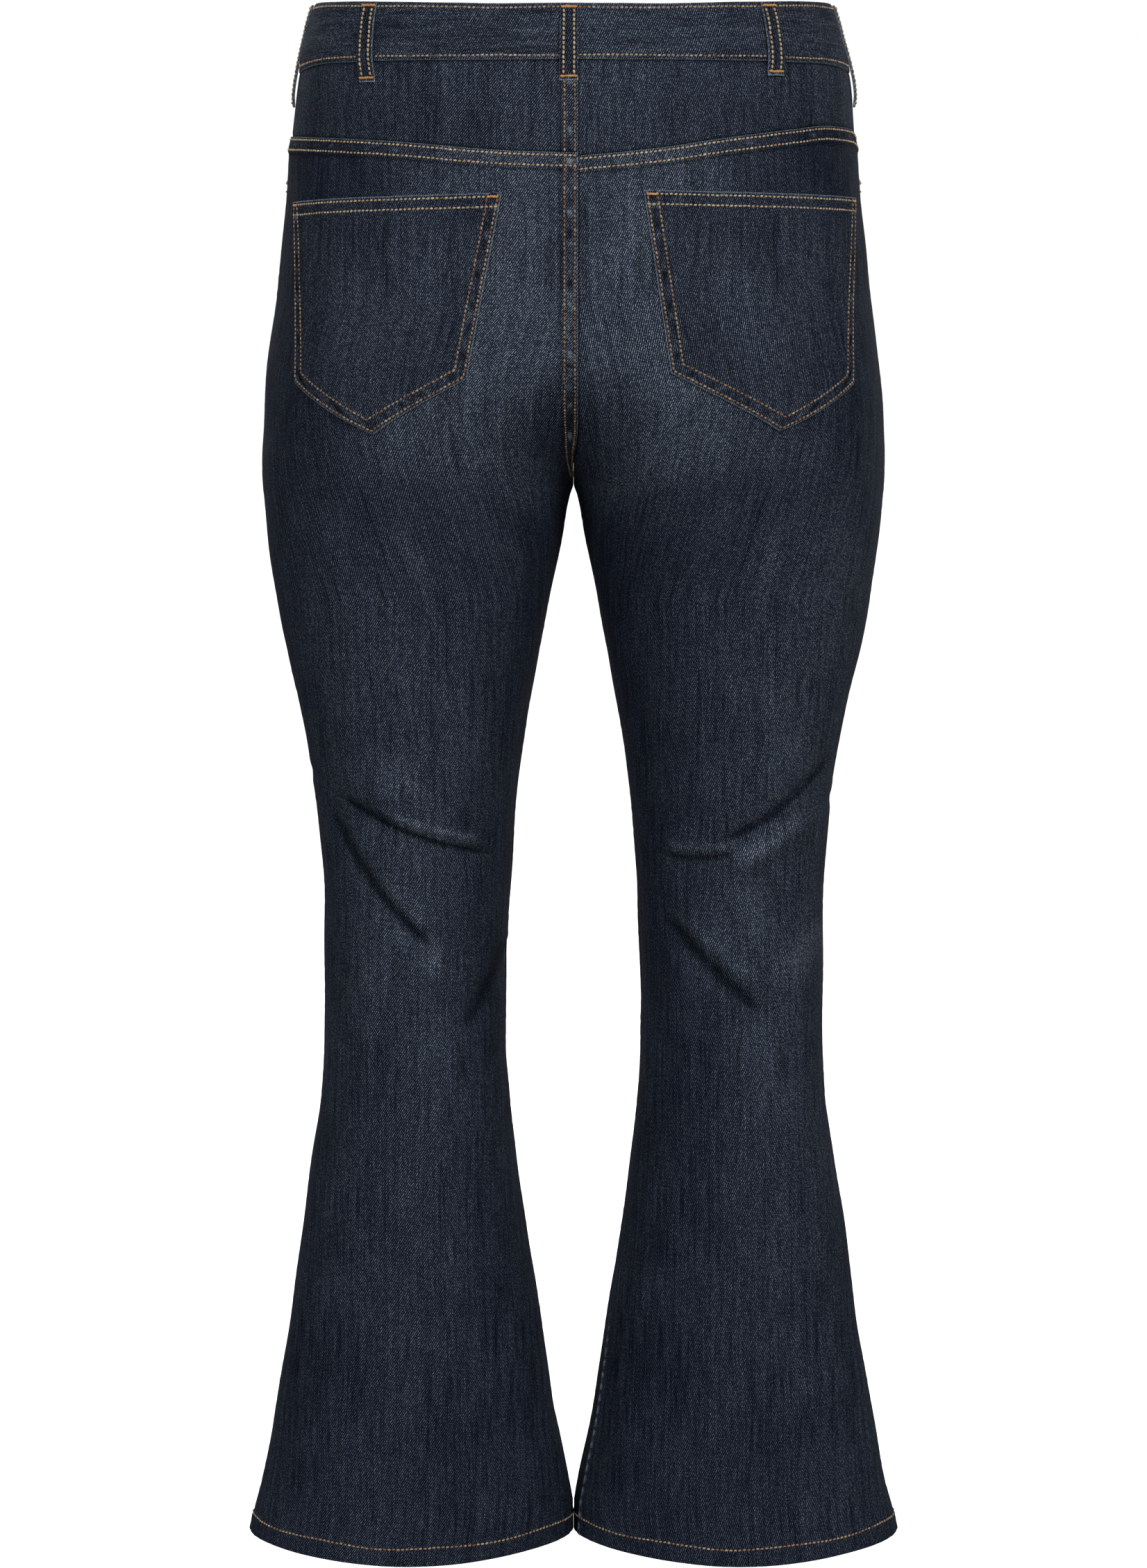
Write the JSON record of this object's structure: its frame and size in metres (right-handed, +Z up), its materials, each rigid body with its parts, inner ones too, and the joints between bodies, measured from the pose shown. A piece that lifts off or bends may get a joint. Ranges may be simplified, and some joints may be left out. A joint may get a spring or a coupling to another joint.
{
  "type": "bootcut jeans",
  "caption": "Hollow, worn-form bootcut jeans in dark indigo denim: waistband with belt loops and button, yokes, patch pockets at the back and legs that flare below the knee.",
  "frame": {"origin": "centre of the waist opening, level with the waistband's top edge at the centre back, where the wearer holds the jeans up", "axes": "+Z up, the front faces -Y, +X is the wearer's left"},
  "size_m": [0.456, 0.2831, 1.0729],
  "materials": {
    "denim": "dark indigo warp-faced twill, matt, paler blue where it is worn on the seat, thighs, knees and folded edges",
    "button_metal": "aged copper-coloured metal, plain, satin",
    "thread_gold": "tan and gold topstitching thread, slight sheen",
    "thread_orange": "orange bar-tack thread, slight sheen"
  },
  "bodies": {
    "root": {"back_panel_left": "denim", "back_panel_right": "denim", "front_panel_left": "denim", "front_panel_right": "denim", "yoke_left": "denim", "yoke_right": "denim", "waistband": "denim", "belt_loop_centre": "denim", "belt_loop_back_left": "denim", "belt_loop_back_right": "denim", "belt_loop_side_left": "denim", "belt_loop_side_right": "denim", "belt_loop_front_left": "denim", "belt_loop_front_right": "denim", "back_pocket_left": "denim", "back_pocket_right": "denim", "pocket_facing_left": "denim", "pocket_facing_right": "denim", "waist_button": "button_metal"}
  },
  "joints": []
}
